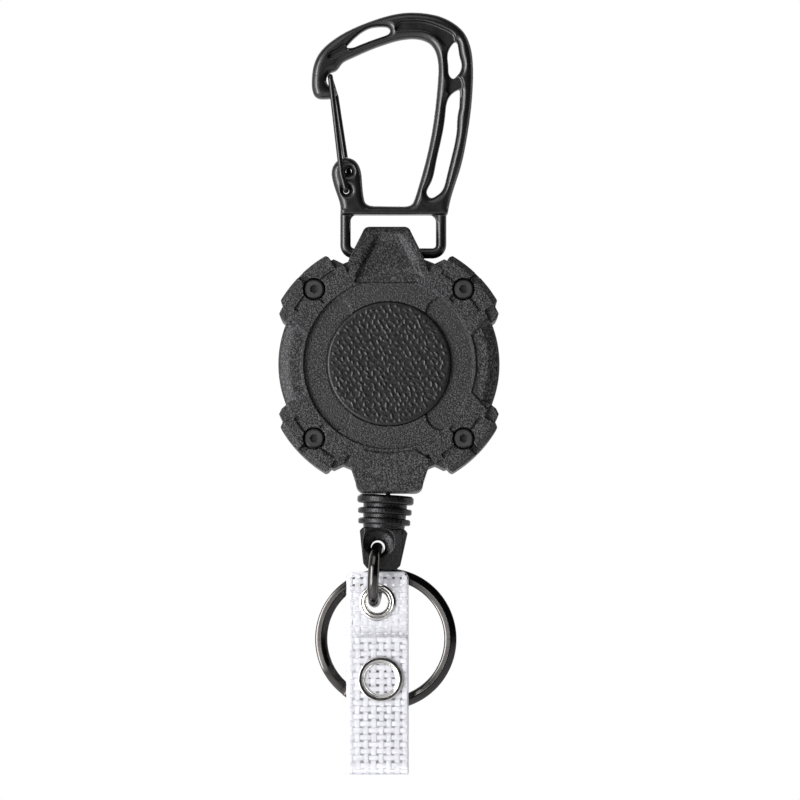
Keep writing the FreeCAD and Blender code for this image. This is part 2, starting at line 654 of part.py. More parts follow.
def ring_on_reel(name, inner, outer, y0, y1):
    """Flat ring about the reel's axis between two depths."""
    body = reel_body(name)
    round_along(body, [(inner, y0), (outer, y0), (outer, y1), (inner, y1)])
    made[name] = body
    return body


clip = ring_on_reel("axle_clip", at.axle_radius - 0.45, 3.6, -4.68, -4.37)
sk = new_sketch(clip, "XZ_Plane")
box_outline(sk, -1.3, -4.5, 1.3, 0.0)
feature(clip, "Pocket", sk, 12.0, both=True)
ring_on_reel("front_washer", at.hub_bore, 4.6, -4.3, -4.02)
ring_on_reel("rear_washer", at.hub_bore, 4.6, 4.0, 4.4)


# ---- spool -----------------------------------------------------------------------------------
bore = at.hub_bore
front = -at.drum_front
rear = at.drum_rear
drum = reel_body("spool_drum")
round_along(drum, [
    (bore, front - 1.0), (at.flange_radius, front - 1.0), (at.flange_radius, front),
    (at.drum_outer, front), (at.drum_outer, rear), (at.flange_radius, rear),
    (at.flange_radius, rear + 1.0), (at.drum_inner, rear + 1.0), (at.drum_inner, front + 1.0),
    (at.hub_radius, front + 1.0), (at.hub_radius, front + 1.2), (bore, front + 1.2)])
sk = new_sketch(drum, "XZ_Plane", 2.5)
circle(sk, 8.2, 0.0, 2.1)
polar(drum, [feature(drum, "Pocket", sk, 3.0, reverse=True)], 6)
made["spool_drum"] = drum
ring_on_reel("spring_cover", bore + 0.15, at.drum_inner, rear + 0.2, rear + 0.9)

# power spring: a flat strip wound from the axle's slot out to the drum wall
turns = 9
inner, outer = 2.75, float(at.drum_inner) - 0.4
steps = turns * 12
inside, outside = [], []
for i in range(steps + 1):
    a = math.radians(90) + 2 * math.pi * turns * i / steps
    r = inner + (outer - inner) * i / steps
    for row, radius in ((inside, r), (outside, r + float(at.spring_strip))):
        row.append(V(radius * math.cos(a), -1.6, radius * math.sin(a)))
edges = []
for row in (inside, outside):
    strip = Part.BSplineCurve()
    strip.interpolate(Points=row, PeriodicFlag=False)
    edges.append(strip.toShape())
edges += [Part.makeLine(inside[0], outside[0]), Part.makeLine(inside[-1], outside[-1])]
strip = Part.Face(Part.Wire(Part.__sortEdges__(edges)))
spring = shaped("power_spring", strip.extrude(V(0, float(at.spring_width), 0)))
made["power_spring"] = place(spring, z=-at.reel_drop)

# wound cord, five turns wide, its outer layer scalloped
winding = reel_body("cord_winding")
cord = at.cord_radius
pitch = (at.drum_front + at.drum_rear) / 5
crown = at.drum_outer + 1.5
profile = [(at.drum_outer, front)]
for i in range(5):
    profile.append((crown, front + pitch * i, -pitch * 0.56))
profile += [(crown, rear), (at.drum_outer, rear)]
round_along(winding, profile)
made["cord_winding"] = winding

# free cord inside the case: off the winding at a tangent, then down the spout
off = math.acos(float(at.run_radius) / 18.9)
touch = V(float(at.run_radius) * math.sin(off), 0, -float(at.run_radius) * math.cos(off))
run = bent_wire([touch, V(0, 0, -18.9), V(0, 0, -23.85)], float(cord), 1.2)
made["cord_run"] = place(shaped("cord_run", run), z=-at.reel_drop)

# flared guide bush pressed in the spout
bush = reel_body("cord_bushing")
sk = new_sketch(bush, "XZ_Plane")
outline(sk, [(2.1, -18.3), (2.5, -18.3), (2.5, -18.9), (at.spout_bore, -18.9),
             (at.spout_bore, -23.95), (0.75, -23.95), (0.75, -20.6, -2.1)])
feature(bush, "Revolution", sk)
made["cord_bushing"] = bush
for shell in (front_shell, rear_shell):
    sk = new_sketch(shell, "XZ_Plane")
    box_outline(sk, -2.5, -18.9, 2.5, -16.5)
    feature(shell, "Pocket", sk, 2.5, reverse=shell is front_shell)
    sk = new_sketch(shell, "XZ_Plane")
    box_outline(sk, 0.0, -18.8, 5.2, -15.5)
    feature(shell, "Pocket", sk, 0.8, reverse=shell is front_shell)


# ---- end fitting -----------------------------------------------------------------------------
def fitting_body(name):
    return new_body(name, x=at.fitting_x, z=at.fitting_z, axis=V(0, 1, 0),
                    angle=at.fitting_lean)


bumper = fitting_body("end_bumper")
sk = new_sketch(bumper, "XZ_Plane")
rib, core = at.rib_radius, at.core_radius
outline(sk, [
    (0.6, 0.0), (rib - 0.4, 0.0), (rib, -0.4), (rib, -1.3), (rib - 0.3, -1.6), (core, -1.6),
    (core, -2.45), (rib - 0.45, -2.45), (rib - 0.25, -2.65), (rib - 0.25, -3.35),
    (rib - 0.45, -3.55), (core - 0.05, -3.55), (core - 0.1, -4.4), (rib - 0.6, -4.4),
    (rib - 0.4, -4.6), (rib - 0.4, -5.3), (rib - 0.6, -5.5), (core - 0.15, -5.5),
    (at.core_end, -at.rib_end), (1.6, -at.rib_end), (1.6, -3.6), (0.6, -3.6)])
feature(bumper, "Revolution", sk)
made["end_bumper"] = bumper

crimp = fitting_body("cord_crimp")
sk = new_sketch(crimp, "XZ_Plane")
outline(sk, [(0.5, -3.8), (1.45, -3.8), (1.45, -6.1), (0.5, -6.1)])
feature(crimp, "Revolution", sk)
made["cord_crimp"] = crimp

# tab: broad at the top, thin at the foot, with a countersunk cross hole
tab = fitting_body("end_block")
top = -at.rib_end
foot = top - at.tab_height
sk = new_sketch(tab, "XZ_Plane")
outline(sk, [(-at.tab_top + 0.5, top), (at.tab_top - 0.5, top), (at.tab_top, top - 0.6),
             (at.tab_foot, foot + 0.9), (at.tab_foot - 0.8, foot), (0.8 - at.tab_foot, foot),
             (-at.tab_foot, foot + 0.9), (-at.tab_top, top - 0.6)])
feature(tab, "Pad", sk, at.tab_thick, both=True)
dress(tab, "Chamfer", 0.9, lambda e: e.BoundBox.YLength < 0.01 and e.BoundBox.ZLength > 4.0)
sk = new_sketch(tab, "YZ_Plane")
for s in (1.0, -1.0):
    outline(sk, [(s * at.tab_thick / 2, top - 0.9), (s * (at.tab_thin / 2 + 0.25), foot + 0.7),
                 (s * (at.tab_thin / 2 - 0.3), foot - 1.0), (s * 5.0, foot - 1.0),
                 (s * 5.0, top - 0.9)])
feature(tab, "Pocket", sk, 12.0, both=True)
sk = off_axis_sketch(tab, at.tab_hole_side, -at.tab_hole_drop)
hole = at.tab_hole
outline(sk, [(0.0, -3.2), (hole + 2.2, -3.2), (hole, -0.7), (hole, 0.7), (hole + 2.2, 3.2),
             (0.0, 3.2)])
feature(tab, "Groove", sk)
made["end_block"] = tab

tail = fitting_body("cord_tail")
sk = new_sketch(tail, "XY_Plane", -6.0)
circle(sk, 0.0, 0.0, cord)
feature(tail, "Pad", sk, 6.2)
made["cord_tail"] = tail


# ---- rings -----------------------------------------------------------------------------------
jump = plain("Torus", "jump_ring", Radius1=at.ring_radius, Radius2=at.ring_wire, Angle3=356.0)
place(jump, at.ring_x, 0.0, at.ring_z)
jump.Placement.Rotation = (FreeCAD.Rotation(V(0, 1, 0), 3.4) *
                           FreeCAD.Rotation(V(0, 0, 1), -5.0) *
                           FreeCAD.Rotation(V(0, 1, 0), 90.0))
made["jump_ring"] = jump

# key ring: two turns of domed wire side by side, crossing over where the ends meet
lean = math.radians(float(at.key_lean))
mid_y, big = float(at.key_y), float(at.key_radius)
begin, finish = 15.0, 705.0
points = []
for i in range(93):
    a = begin + (finish - begin) * i / 92
    slide = min(max((a - 345.0) / 30.0, 0.0), 1.0)
    slide = slide * slide * (3 - 2 * slide)
    side = float(at.key_coil_step) * (2 * slide - 1)
    turn = math.radians(a + 200)
    points.append(V(big * math.cos(turn), side, big * math.sin(turn)))
spine = Part.BSplineCurve()
spine.interpolate(Points=points, PeriodicFlag=False)
spine = Part.Wire([spine.toShape()])
radial = V(points[0].x, 0, points[0].z).normalize()
oval = Part.Ellipse(points[0] + radial * float(at.key_half_width),
                    points[0] + V(0, float(at.key_half_coil), 0), points[0])
sweep = Part.BRepOffsetAPI.MakePipeShell(spine)
sweep.setBiNormalMode(V(0, 1, 0))
sweep.add(Part.Wire([oval.toShape()]))
sweep.build()
sweep.makeSolid()
key_ring = shaped("split_ring", sweep.shape())
top_z = float(at.key_z) + big
key_ring.Placement = FreeCAD.Placement(
    V(float(at.key_x), mid_y, top_z), FreeCAD.Rotation(V(1, 0, 0), float(at.key_lean))
) * FreeCAD.Placement(V(0, 0, -big), FreeCAD.Rotation())
made["split_ring"] = key_ring


# ---- snap strap ------------------------------------------------------------------------------
thick = at.strap_thick
half_thick = thick / 2
left, right = at.strap_x - at.strap_half, at.strap_x + at.strap_half
flap_y = -at.fold_radius * 2


def strip_piece(name, y, outline_corners, holes):
    """Flat piece of strap whose middle plane stands at depth y."""
    body = new_body(name, y=y)
    sk = new_sketch(body, "XZ_Plane")
    outline(sk, outline_corners)
    for x, z, radius in holes:
        circle(sk, x, z, radius)
    feature(body, "Pad", sk, thick, both=True)
    made[name] = body
    return body


def rounded_top(top, foot):
    c = at.strap_corner
    return [(left, foot), (right, foot), (right, top - c, c), (right - c, top),
            (left + c, top, c), (left, top - c)]


strip_piece("strap_tab", 0.0, rounded_top(at.strap_top, at.tab_end),
            [(at.eyelet_x, at.eyelet_z, at.eyelet_barrel)])
strip_piece("strap_bend", 0.0, [(left, at.panel_top), (right, at.panel_top),
                                (right, at.tab_end), (left, at.tab_end)], [])
strip_piece("strap_panel", 0.0, [(left, at.fold_z), (right, at.fold_z),
                                 (right, at.panel_top), (left, at.panel_top)],
            [(at.snap_x, at.snap_z, 1.0)])
strip_piece("strap_flap", flap_y, rounded_top(at.flap_top, at.fold_z), [])
fold = new_body("strap_fold", y=-at.fold_radius, z=at.fold_z)
sk = new_sketch(fold, "YZ_Plane", at.strap_x)
near, far = at.fold_radius - half_thick, at.fold_radius + half_thick
outline(sk, [(near, 0.0), (far, 0.0, -(far + 0.0001)), (-far, 0.0), (-near, 0.0, near + 0.0001)])
feature(fold, "Pad", sk, at.strap_half * 2, both=True)
made["strap_fold"] = fold

# eyelet: domed front flange and barrel, with a plain washer behind
z = at.eyelet_z
made["strap_eyelet"] = tube("strap_eyelet", at.eyelet_x, z, [
    (at.eyelet_bore, 0.72), (at.eyelet_bore, -0.55, 0.35), (at.eyelet_bore + 0.5, -0.8, 0.9),
    (at.eyelet_rim, -0.35), (at.eyelet_rim, -half_thick), (at.eyelet_barrel, -half_thick),
    (at.eyelet_barrel, 0.72)])
made["eyelet_washer"] = tube("eyelet_washer", at.eyelet_x, z, [
    (at.eyelet_barrel, half_thick), (at.eyelet_rim, half_thick), (at.eyelet_rim, 0.5),
    (at.eyelet_barrel + 0.3, 0.65), (at.eyelet_barrel, 0.65)])


# snap: open prong ring and socket on the flap, stud and prong ring on the panel
def prong_ring(name, y, out):
    """Half-round open ring against a strap face; out is the side it bulges to."""
    body = new_body(name, x=at.snap_x, y=y, z=at.snap_z)
    low, high = at.snap_ring_inner, at.snap_ring
    tall = at.snap_ring_thick * out
    round_along(body, [(low, 0.0), (high, 0.0), (high, tall * 0.45, 0.45 * out),
                       (high - 0.35, tall), (low + 0.35, tall, 0.45 * out), (low, tall * 0.45)])
    made[name] = body
    return body


prong_ring("snap_ring_front", flap_y - half_thick, -1.0)
prong_ring("snap_ring_back", half_thick, 1.0)
bore = at.snap_socket_bore
inner_face = flap_y + half_thick
made["snap_socket"] = tube("snap_socket", at.snap_x, at.snap_z, [
    (bore, inner_face), (at.snap_socket, inner_face), (at.snap_socket, -1.25),
    (at.snap_socket - 0.3, -1.0), (bore + 0.25, -1.0), (bore, -1.25)])
made["snap_stud"] = tube("snap_stud", at.snap_x, at.snap_z, [
    (0.0, half_thick), (1.0, half_thick), (1.0, -half_thick), (at.snap_flange, -half_thick),
    (at.snap_flange, -0.6), (at.snap_post, -0.7), (at.snap_post, -1.5),
    (at.snap_post - 0.4, -1.9), (0.0, -1.9)])

doc.recompute()
for thing in doc.Objects:
    if "Invalid" in thing.State or "Error" in thing.State:
        raise ValueError("broken feature " + thing.Name)
os.makedirs("parts", exist_ok=True)
for name, thing in made.items():
    if thing.Shape.isNull() or not thing.Shape.isValid():
        raise ValueError("broken piece " + name)
    thing.Shape.exportStep("parts/" + name + ".step")
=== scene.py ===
import json
import math
import random

import bmesh
import bpy
import numpy as np
from mathutils import Matrix, Vector
from mathutils.kdtree import KDTree


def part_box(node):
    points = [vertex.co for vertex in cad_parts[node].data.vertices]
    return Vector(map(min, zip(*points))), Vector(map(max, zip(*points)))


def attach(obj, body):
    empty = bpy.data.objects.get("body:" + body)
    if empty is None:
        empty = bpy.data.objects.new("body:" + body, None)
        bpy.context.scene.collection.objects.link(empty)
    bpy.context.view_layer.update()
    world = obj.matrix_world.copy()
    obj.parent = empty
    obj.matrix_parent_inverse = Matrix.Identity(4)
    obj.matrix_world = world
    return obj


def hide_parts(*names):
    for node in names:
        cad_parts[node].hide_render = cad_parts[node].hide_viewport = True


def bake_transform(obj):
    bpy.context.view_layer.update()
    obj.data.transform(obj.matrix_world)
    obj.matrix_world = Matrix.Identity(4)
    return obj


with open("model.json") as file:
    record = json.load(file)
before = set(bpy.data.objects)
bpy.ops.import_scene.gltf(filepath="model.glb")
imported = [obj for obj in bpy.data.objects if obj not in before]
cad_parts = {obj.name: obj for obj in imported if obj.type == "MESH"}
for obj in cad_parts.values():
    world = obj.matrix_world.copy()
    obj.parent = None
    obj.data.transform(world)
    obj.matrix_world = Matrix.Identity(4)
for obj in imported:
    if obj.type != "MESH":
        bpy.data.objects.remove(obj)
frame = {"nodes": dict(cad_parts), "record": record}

bpy.context.view_layer.update()
nodes = frame["nodes"]
MM = 0.001
scene = bpy.context.scene


# ---- materials -----------------------------------------------------------------------------
class Look:
    """A Principled material with helpers that add procedural nodes to it.

    m is the material, t its node tree, b the shader, c the object's own coordinates.
    """

    def __init__(self, name):
        self.m = bpy.data.materials.new(name)
        self.m.use_nodes = True
        self.t = self.m.node_tree
        self.t.nodes.clear()
        self.out = self.t.nodes.new("ShaderNodeOutputMaterial")
        self.b = self.t.nodes.new("ShaderNodeBsdfPrincipled")
        self.t.links.new(self.b.outputs[0], self.out.inputs[0])
        self.c = self.t.nodes.new("ShaderNodeTexCoord").outputs["Object"]

    def put(self, **values):
        """Set constants of the shader."""
        for key, value in values.items():
            self.b.inputs[key.replace("_", " ")].default_value = value

    def add(self, kind, **values):
        """Add a node; sockets among the values are linked, the rest are set."""
        n = self.t.nodes.new("ShaderNode" + kind)
        for key, value in values.items():
            if hasattr(value, "is_output"):
                self.t.links.new(value, n.inputs[key.replace("_", " ")])
            elif key.replace("_", " ") in n.inputs:
                n.inputs[key.replace("_", " ")].default_value = value
            else:
                setattr(n, key, value)
        return n

    def noise(self, scale, detail=3.0, rough=0.5, stretch=(1, 1, 1)):
        """A noise over the object's own space, in cells per metre."""
        c = self.c
        if stretch != (1, 1, 1):
            c = self.add("Mapping", Vector=c, Scale=stretch).outputs[0]
        return self.add("TexNoise", Vector=c, Scale=scale, Detail=detail,
                        Roughness=rough).outputs[0]

    def ramp(self, value, stops):
        """Colours or greys at places between 0 and 1."""
        n = self.add("ValToRGB", Fac=value)
        e = n.color_ramp.elements
        while len(e) < len(stops):
            e.new(0.5)
        for item, (place, colour) in zip(e, stops):
            item.position = place
            colour = (colour,) * 3 if isinstance(colour, (int, float)) else colour
            item.color = (*colour, 1.0)
        return n.outputs[0]

    def spread(self, value, low, high, a=0.3, b=0.7):
        """Map a value between a and b, where most of a noise lies, to low..high."""
        n = self.add("MapRange", Value=value)
        for i, v in zip((1, 2, 3, 4), (a, b, low, high)):
            n.inputs[i].default_value = v
        return n.outputs[0]

    def worn_and_highlit_edge(self, colour, lift, low, high):
        """Turn a colour into lift along outward edges, from pointiness low to high: partly wear,
        partly a painted highlight.
        """
        point = self.add("NewGeometry").outputs["Pointiness"]
        fac = self.spread(point, 0.0, 1.0, low, high)
        n = self.t.nodes.new("ShaderNodeMix")
        n.data_type = "RGBA"
        self.t.links.new(fac, n.inputs["Factor"])
        self.t.links.new(colour, n.inputs[6])
        n.inputs[7].default_value = (*lift, 1.0)
        return n.outputs[2]

    def colour(self, socket):
        """Link the base colour."""
        self.t.links.new(socket, self.b.inputs["Base Color"])
        return self

    def rough(self, socket):
        """Link the roughness."""
        self.t.links.new(socket, self.b.inputs["Roughness"])

    def bump(self, height, depth):
        """Bump of that depth in metres."""
        n = self.add("Bump", Height=height, Distance=depth, Strength=1.0)
        self.t.links.new(n.outputs[0], self.b.inputs["Normal"])


RUBBED_AND_LIT, PALEST = 2.2, 0.95      # edges are that much lighter than the face, up to this: partly wear, partly a painted highlight


def moulded(name, tone, gloss, grain, depth, speck, shine=0.4):
    """Moulded plastic with a spark-eroded grain.

    tone is its grey, gloss its roughness, grain the scale and depth the height in metres of
    the grain, speck how far its colour varies and shine its specular level.
    """
    k = Look(name)
    k.put(Specular_IOR_Level=shine, Specular_Tint=(0.97, 0.96, 1.0, 1.0))
    fine = k.noise(grain, 2.0, 0.6)
    base = k.ramp(fine, [(0.4, tone / speck), (0.5, tone), (0.63, tone * speck)])
    # lighter outward edges: partly wear, partly a painted highlight
    edge = (min(tone * RUBBED_AND_LIT, PALEST),) * 3
    k.colour(k.worn_and_highlit_edge(base, edge, 0.54, 0.68))
    k.rough(k.spread(k.noise(900.0, 3.0), gloss - 0.05, gloss + 0.07))
    k.bump(fine, depth)
    return k


def painted(name, tone, gloss, shine, orange):
    """Satin powder coat; orange is the depth of its orange peel, in metres."""
    k = Look(name)
    k.put(Specular_IOR_Level=shine)
    k.colour(k.ramp(k.noise(260.0, 5.0), [(0.3, tone * 0.8), (0.7, tone * 1.2)]))
    k.rough(k.spread(k.noise(600.0, 3.0), gloss - 0.04, gloss + 0.06))
    k.bump(k.noise(1500.0, 2.0), orange)
    return k


def plated(name, tint, gloss):
    """Polished metal with fine scratches."""
    scratch = 0.000002
    k = Look(name)
    k.put(Metallic=1.0)
    k.colour(k.ramp(k.noise(420.0, 4.0), [(0.3, tuple(v * 0.9 for v in tint)),
                                          (0.7, tuple(min(v * 1.06, 1.0) for v in tint))]))
    k.rough(k.spread(k.noise(1500.0, 5.0), gloss * 0.7, gloss * 1.5))
    k.bump(k.noise(5200.0, 3.0, 0.6, (1, 1, 5)), scratch)
    return k


looks = {
    "hook_black": painted("hook_black_paint", 0.004, 0.27, 0.38, 0.0000004),
    "gate_steel": painted("gate_black_wire", 0.0035, 0.17, 0.3, 0.0000001),
    "case_plastic": moulded("case_grained_plastic", 0.0062, 0.36, 3500.0, 0.00014, 7.0, 0.22),
    "disc_plastic": moulded("disc_pebbled_rubber", 0.0055, 0.33, 3000.0, 0.00005, 2.0, 0.24),
    "screw_black": painted("screw_black_oxide", 0.016, 0.32, 0.4, 0.000002),
    "brass": plated("brass_turned", (0.78, 0.56, 0.25), 0.25),
    "steel": plated("bright_steel", (0.62, 0.62, 0.64), 0.22),
    "white_nylon": moulded("white_nylon", 0.7, 0.45, 3000.0, 0.00001, 1.03),
    "bush_plastic": moulded("bush_acetal", 0.012, 0.3, 5000.0, 0.00001, 1.1),
    "cord_black": moulded("cord_braid", 0.014, 0.6, 4200.0, 0.00005, 1.5),
    "spool_plastic": moulded("spool_nylon", 0.45, 0.5, 2800.0, 0.00002, 1.05),
    "fitting_plastic": moulded("fitting_satin_plastic", 0.003, 0.27, 3000.0, 0.00007, 2.4, 0.2),
    "black_nickel": plated("black_nickel_plate", (0.055, 0.052, 0.05), 0.13),
    "mesh_vinyl": moulded("strap_vinyl", 0.8, 0.3, 3000.0, 0.00001, 1.03),
    "nickel": plated("nickel_plate", (0.56, 0.548, 0.532), 0.12),
}


def thin_film():
    """Clear glossy vinyl: see-through straight on, bright at a glance."""
    k = Look("strap_clear_vinyl")
    k.put(Base_Color=(0.93, 0.93, 0.95, 1.0), Roughness=0.14)
    k.rough(k.spread(k.noise(700.0, 3.0), 0.08, 0.2))
    k.bump(k.noise(420.0, 2.0), 0.00004)
    clear = k.add("BsdfTransparent")
    clear.inputs[0].default_value = (0.985, 0.985, 0.99, 1.0)
    edge = k.add("LayerWeight")
    edge.inputs["Blend"].default_value = 0.32
    cloud = k.spread(k.noise(900.0, 4.0), 0.03, 0.08)
    total = k.add("Math", operation="MAXIMUM")
    k.t.links.new(edge.outputs["Fresnel"], total.inputs[0])
    k.t.links.new(cloud, total.inputs[1])
    mix = k.add("MixShader")
    k.t.links.new(total.outputs[0], mix.inputs[0])
    k.t.links.new(clear.outputs[0], mix.inputs[1])
    k.t.links.new(k.b.outputs[0], mix.inputs[2])
    k.t.links.new(mix.outputs[0], k.out.inputs[0])
    return k


def yarn():
    """Flat white polyester tape, a little see-through, finely lined along its length."""
    k = Look("strap_white_yarn")
    k.colour(k.ramp(k.noise(1300.0, 4.0), [(0.25, (0.83, 0.825, 0.86)),
                                           (0.75, (0.95, 0.95, 0.97))]))
    k.rough(k.spread(k.noise(2600.0, 2.0), 0.3, 0.5))
    k.bump(k.noise(3800.0, 3.0, 0.5, (3, 1, 0.4)), 0.00002)
    alpha = k.spread(k.noise(600.0, 2.0), 0.78, 0.94)
    k.t.links.new(alpha, k.b.inputs["Alpha"])
    return k


FILM = thin_film()
YARN = yarn()
slot_of = {part["node"]: part["material_slot"] for part in frame["record"]["subparts"]}
for name, o in nodes.items():
    o.data.materials.clear()
    o.data.materials.append(looks[slot_of[name]].m)


# ---- mesh helpers --------------------------------------------------------------------------
def piece(name, verts, faces, slot, body, replaces, look=None):
    """A smooth-shaded mesh object with outward faces, settled as below."""
    mesh = bpy.data.meshes.new(name)
    mesh.from_pydata([tuple(v) for v in verts], [], faces)
    work = bmesh.new()
    work.from_mesh(mesh)
    bmesh.ops.recalc_face_normals(work, faces=work.faces)
    work.to_mesh(mesh)
    work.free()
    mesh.polygons.foreach_set("use_smooth", [True] * len(mesh.polygons))
    o = bpy.data.objects.new(name, mesh)
    return settle(o, slot, body, replaces, look)


def settle(o, slot, body, replaces, look=None):
    """Link an object, give it the material of its slot or its own look, hide the nodes it stands
    for and hang it on its body.
    """
    scene.collection.objects.link(o)
    o.data.materials.clear()
    o.data.materials.append((look or looks[slot]).m)
    if replaces:
        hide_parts(*replaces)
    if body:
        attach(o, body)
    return o


def rounded(points, times):
    """A closed loop of points with its corners cut, a few times over."""
    for _ in range(times):
        cut = []
        for i, p in enumerate(points):
            q = points[(i + 1) % len(points)]
            cut.append(tuple(0.75 * a + 0.25 * b for a, b in zip(p, q)))
            cut.append(tuple(0.25 * a + 0.75 * b for a, b in zip(p, q)))
        points = cut
    return points


def rings_to_faces(rings, count, closed):
    """Faces over rings of count points each; closed joins the last ring to the first."""
    faces = []
    for i in range(rings if closed else rings - 1):
        a, b = i * count, ((i + 1) % rings) * count
        for j in range(count):
            k = (j + 1) % count
            faces.append((a + j, a + k, b + k, b + j))
    if not closed:
        faces.append(tuple(range(count)))
        faces.append(tuple(reversed(range((rings - 1) * count, rings * count))))
    return faces


def lathe(loop, x, z):
    """Closed ring about a line along Y. loop is closed, of (radius, y) in mm."""
    steps = 144
    verts = []
    for i in range(steps):
        a = 2 * math.pi * i / steps
        verts += [((x + r * math.cos(a)) * MM, y * MM, (z + r * math.sin(a)) * MM)
                  for r, y in loop]
    return verts, rings_to_faces(steps, len(loop), True)


def add_prism(work, corners, thick):
    """A closed slab of that outline in X and Z, in mm, to either side of y = 0."""
    front = [work.verts.new((x * MM, -thick * MM, z * MM)) for x, z in corners]
    rear = [work.verts.new((x * MM, thick * MM, z * MM)) for x, z in corners]
    work.faces.new(front)
    work.faces.new(list(reversed(rear)))
    for i in range(len(corners)):
        j = (i + 1) % len(corners)
        work.faces.new((front[j], front[i], rear[i], rear[j]))


GROW = 100.0            # small parts are remeshed at this scale, where a mm measures 0.1
GROWN_MM = 0.1


def soft_copy(node, name, voxel, smooth, ratio, shape=None, extra=()):
    """A copy of a CAD node with softened edges, as a fine mesh.

    voxel is in mm, smooth counts the passes, ratio is the share of faces kept, shape moves
    the vertices at the end and extra holds slabs that are added first.
    """
    mesh = nodes[node].data.copy()
    work = bmesh.new()
    work.from_mesh(mesh)
    for corners, thick in extra:
        add_prism(work, corners, thick)
    bmesh.ops.recalc_face_normals(work, faces=work.faces)
    bmesh.ops.scale(work, vec=(GROW, GROW, GROW), verts=work.verts)
    bmesh.ops.remove_doubles(work, verts=work.verts, dist=1e-4)
    work.to_mesh(mesh)
    work.free()
    if "custom_normal" in mesh.attributes:
        mesh.attributes.remove(mesh.attributes["custom_normal"])
    o = bpy.data.objects.new(name + "_raw", mesh)
    scene.collection.objects.link(o)
    m = o.modifiers.new("remesh", "REMESH")
    m.mode = "VOXEL"
    m.voxel_size = voxel * GROWN_MM
    m = o.modifiers.new("smooth", "SMOOTH")
    m.iterations = smooth
    m.factor = 0.5
    if ratio < 1:
        m = o.modifiers.new("thin", "DECIMATE")
        m.ratio = ratio
    bpy.context.view_layer.update()
    graph = bpy.context.evaluated_depsgraph_get()
    final = bpy.data.meshes.new_from_object(o.evaluated_get(graph))
    bpy.data.objects.remove(o)
    co = np.empty(len(final.vertices) * 3)
    final.vertices.foreach_get("co", co)
    co = co.reshape(-1, 3) / GROW
    if shape:
        co = shape(co)
    low, high = (np.array(v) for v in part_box(node))
    co = np.clip(co, low, high)
    final.vertices.foreach_set("co", co.ravel())
    final.update()
    final.polygons.foreach_set("use_smooth", [True] * len(final.polygons))
    return bpy.data.objects.new(name, final)


# ---- snap hook: rails rounded towards every edge -------------------------------------------
def round_rails(co):
    """Pull the faces of the casting down towards its outline and windows."""
    foot_top, middle, half, reach = -31.6, 0.25, 2.0, 1.35
    x, y, z = (co[:, i] / MM for i in range(3))
    cast = z > foot_top
    rim = np.where(cast & (np.abs(y) < middle))[0]
    tree = KDTree(len(rim))
    for i in rim:
        tree.insert((x[i], 0.0, z[i]), int(i))
    tree.balance()
    out = co.copy()
    for i in np.where(cast & (np.abs(y) > middle))[0]:
        d = tree.find((x[i], 0.0, z[i]))[2]
        if d < reach:
            t = 1.0 - d / reach
            top = half * (0.30 + 0.70 * math.sqrt(max(1.0 - t * t, 0.0)))
            if abs(y[i]) > top:
                out[i, 1] = math.copysign(top, y[i]) * MM
    return out


def corner_fill(x, z, reach, side):
    """Outline of a concave fillet under the foot bar, against a leg of the wire loop."""
    steps, sunk = 8, 0.3
    arc = [(x + side * reach * (1 - math.sin(a)), z - reach * (1 - math.cos(a)))
           for a in (math.pi / 2 * i / steps for i in range(steps + 1))]
    return arc + [(x - side * sunk, z - reach), (x - side * sunk, z + sunk),
                  (x + side * reach, z + sunk)]


FOOT_Z, FILLET_HALF, WINDOW_HALF = -32.45, 0.85, 1.1
window_corner = [(13.32, -8.9), (14.2, -8.7), (14.2, -12.2), (13.2, -12.2), (13.3, -10.5)]
hook_extra = [(corner_fill(-7.25, FOOT_Z, 1.3, 1), FILLET_HALF),
              (corner_fill(8.85, FOOT_Z, 1.5, -1), FILLET_HALF),
              (window_corner, WINDOW_HALF)]
settle(soft_copy("carabiner_frame", "hook_casting", voxel=0.12, smooth=14, ratio=1.0,
                 shape=round_rails, extra=hook_extra),
       "hook_black", "hook", ["carabiner_frame"])


def bent(points, bend):
    """A line through points with an arc of that radius at each corner."""
    steps = 12
    points = [Vector(p) for p in points]
    path = [points[0]]
    for a, b, c in zip(points, points[1:], points[2:]):
        u, v = (a - b).normalized(), (c - b).normalized()
        half = u.angle(v) / 2
        cut = min(bend / math.tan(half), 0.45 * min((a - b).length, (c - b).length))
        r = cut * math.tan(half)
        middle = b + (u + v).normalized() * (r / math.sin(half))
        first, last = b + u * cut - middle, b + v * cut - middle
        axis, total = first.cross(last).normalized(), first.angle(last)
        path += [middle + Matrix.Rotation(total * i / steps, 3, axis) @ first
                 for i in range(steps + 1)]
    return path + [points[-1]]


def round_wire(path, radius):
    """A tube along a path, without twist, with closed ends."""
    sides = 28
    verts, normal = [], None
    for i, p in enumerate(path):
        ahead = (path[min(i + 1, len(path) - 1)] - path[max(i - 1, 0)]).normalized()
        normal = ahead.orthogonal() if normal is None else normal - ahead * normal.dot(ahead)
        normal.normalize()
        other = ahead.cross(normal)
        for k in range(sides):
            a = 2 * math.pi * k / sides
            verts.append((p + (normal * math.cos(a) + other * math.sin(a)) * radius) * MM)
    return verts, rings_to_faces(len(path), sides, False)


GATE = [(-8.07, -0.9, -28.03), (-8.07, -2.75, -28.03), (-8.9, -2.75, -25.0),
        (-11.05, -2.75, -6.55), (-11.05, 2.75, -6.55), (-10.0, 2.75, -10.0),
        (-8.25, 2.75, -21.5), (-7.6, 2.75, -24.31), (-7.6, 0.9, -24.31)]
GATE_BEND, GATE_RADIUS = 0.7, 0.5
piece("gate_spring_wire", *round_wire(bent(GATE, GATE_BEND), GATE_RADIUS), "gate_steel", "gate",
      ["wire_gate"])


# ---- reel casing ---------------------------------------------------------------------------
def ease(t):
    """A smooth step from 0 to 1."""
    t = np.clip(t, 0.0, 1.0)
    return t * t * (3 - 2 * t)


